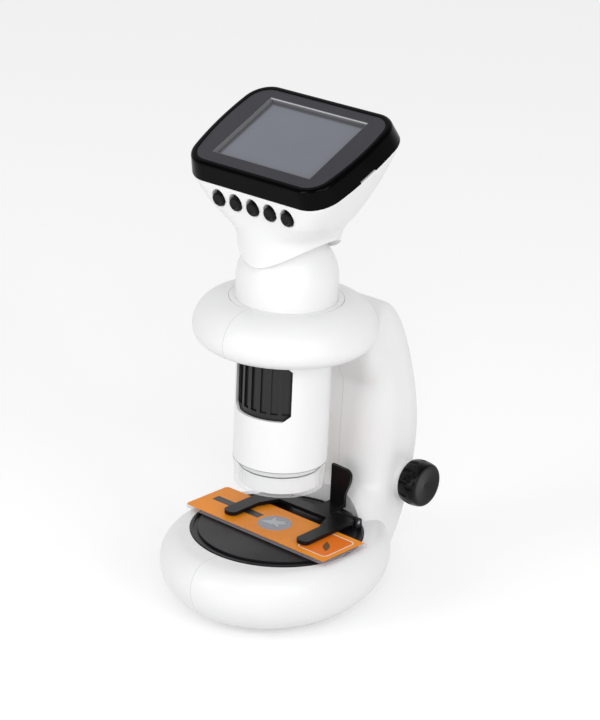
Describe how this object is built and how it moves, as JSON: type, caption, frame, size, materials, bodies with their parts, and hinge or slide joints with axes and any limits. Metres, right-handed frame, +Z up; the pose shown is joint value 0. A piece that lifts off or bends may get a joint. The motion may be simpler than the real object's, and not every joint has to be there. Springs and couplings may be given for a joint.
{
  "type": "lcd digital microscope",
  "caption": "Small digital microscope: a tilted LCD head on a focusing tube in a white C-shaped stand, with a rising black stage, slide clip and specimen slide.",
  "frame": {"origin": "on the table under the optical axis, at the middle of the base pad's face", "axes": "+Z up along the optical axis; -Y towards the person in front; +X towards the stage knob; the arm is at +Y"},
  "size_m": [0.0878, 0.1261, 0.209],
  "materials": {
    "white_plastic": "satin white moulding",
    "black_gloss": "gloss black",
    "black_matte": "matt black",
    "screen_panel": "smooth dark panel",
    "lcd": "unlit screen",
    "frosted_disc": "frosted white",
    "steel": "plain steel",
    "brushed_cap": "turned, dark",
    "clear_plastic": "clear plastic",
    "slide_label": "printed orange film",
    "lens_glass": "polished",
    "circuit_board": "solder mask",
    "lamp_lens": "clear epoxy",
    "battery_wrap": "foil pouch",
    "rubber": "soft foot",
    "button_rubber": "satin silicone"
  },
  "bodies": {
    "stand": {"stand_shell_left": "white_plastic", "stand_shell_right": "white_plastic", "base_plate": "black_matte", "base_pad": "rubber", "ballast": "steel", "shaft_bushes": "black_matte"},
    "ring": {"turn_ring": "white_plastic"},
    "handset": {"barrel_shell": "white_plastic", "neck_shell": "white_plastic", "clear_tip": "clear_plastic", "reflector_cup": "white_plastic", "lamp_board": "circuit_board", "ring_lamps": "lamp_lens", "wheel_retainer": "black_matte", "rod_plate": "black_matte", "guide_rods": "steel", "sensor_board": "circuit_board", "image_sensor": "black_matte"},
    "wheel": {"focus_wheel": "black_matte"},
    "lens_carrier": {"lens_barrel": "black_matte", "objective_lens": "lens_glass"},
    "head": {"head_shell": "white_plastic", "bezel": "black_gloss", "screen_panel": "screen_panel", "lcd_panel": "lcd", "main_board": "circuit_board", "battery": "battery_wrap", "swivel_pivot": "white_plastic"},
    "stage": {"stage_disc": "black_gloss", "stage_carriage": "black_matte", "stage_rack": "black_matte", "stage_window": "frosted_disc", "clip_pins": "steel"},
    "knob": {"knob_grip": "black_matte", "knob_cap": "brushed_cap", "knob_shaft": "steel", "knob_pinion": "black_matte"},
    "clip": {"clip_frame": "black_matte"},
    "specimen_slide": {"slide_plate": "clear_plastic", "slide_label": "slide_label", "slide_window": "clear_plastic"},
    "button_1": {"button_1": "button_rubber"},
    "button_2": {"button_2": "button_rubber"},
    "button_3": {"button_3": "button_rubber"},
    "button_4": {"button_4": "button_rubber"},
    "button_5": {"button_5": "button_rubber"}
  },
  "joints": [
    {"name": "ring_turn", "type": "hinge", "parent": "stand", "child": "ring", "pos_m": [0, 0, 0.12], "axis": [0, 0, 1], "range_deg": [-180, 180]},
    {"name": "handset_lift", "type": "slide", "parent": "ring", "child": "handset", "axis": [0, 0, 1], "range_m": [0, 0.085]},
    {"name": "focus_turn", "type": "hinge", "parent": "handset", "child": "wheel", "pos_m": [0, 0, 0.099], "axis": [0, 0, 1], "range_deg": [-120, 120]},
    {"name": "lens_travel", "type": "slide", "parent": "handset", "child": "lens_carrier", "axis": [0, 0, 1], "range_m": [-0.00402, 0.00402]},
    {"name": "head_swivel", "type": "hinge", "parent": "handset", "child": "head", "pos_m": [-0.00113, -0.00095, 0.1526], "axis": [-0.1012, -0.0852, 0.9912], "range_deg": [-90, 90]},
    {"name": "stage_lift", "type": "slide", "parent": "stand", "child": "stage", "axis": [0, 0, 1], "range_m": [0, 0.01]},
    {"name": "knob_turn", "type": "hinge", "parent": "stand", "child": "knob", "pos_m": [0.03, 0.059, 0.0432], "axis": [1, 0, 0], "range_deg": [-104.3, 0]},
    {"name": "clip_open", "type": "hinge", "parent": "stage", "child": "clip", "pos_m": [0, 0.024, 0.0353], "axis": [-1, 0, 0], "range_deg": [0, 12], "stiffness_Nm_per_rad": 0.06, "springref_deg": -14.32},
    {"name": "slide_pull", "type": "slide", "parent": "stage", "child": "specimen_slide", "axis": [0.9998, -0.0209, 0], "range_m": [0, 0.06]},
    {"name": "press_1", "type": "slide", "parent": "head", "child": "button_1", "axis": [0, 0.9707, 0.2402], "range_m": [0, 0.0007], "stiffness_N_per_m": 1500},
    {"name": "press_2", "type": "slide", "parent": "head", "child": "button_2", "axis": [0, 0.9707, 0.2402], "range_m": [0, 0.0007], "stiffness_N_per_m": 1500},
    {"name": "press_3", "type": "slide", "parent": "head", "child": "button_3", "axis": [0, 0.9707, 0.2402], "range_m": [0, 0.0007], "stiffness_N_per_m": 1500},
    {"name": "press_4", "type": "slide", "parent": "head", "child": "button_4", "axis": [0, 0.9707, 0.2402], "range_m": [0, 0.0007], "stiffness_N_per_m": 1500},
    {"name": "press_5", "type": "slide", "parent": "head", "child": "button_5", "axis": [0, 0.9707, 0.2402], "range_m": [0, 0.0007], "stiffness_N_per_m": 1500}
  ],
  "couplings": [
    {"joint": "lens_travel", "follows": "focus_turn", "m_per_rad": 0.0019099},
    {"joint": "knob_turn", "follows": "stage_lift", "rad_per_m": -181.82}
  ]
}
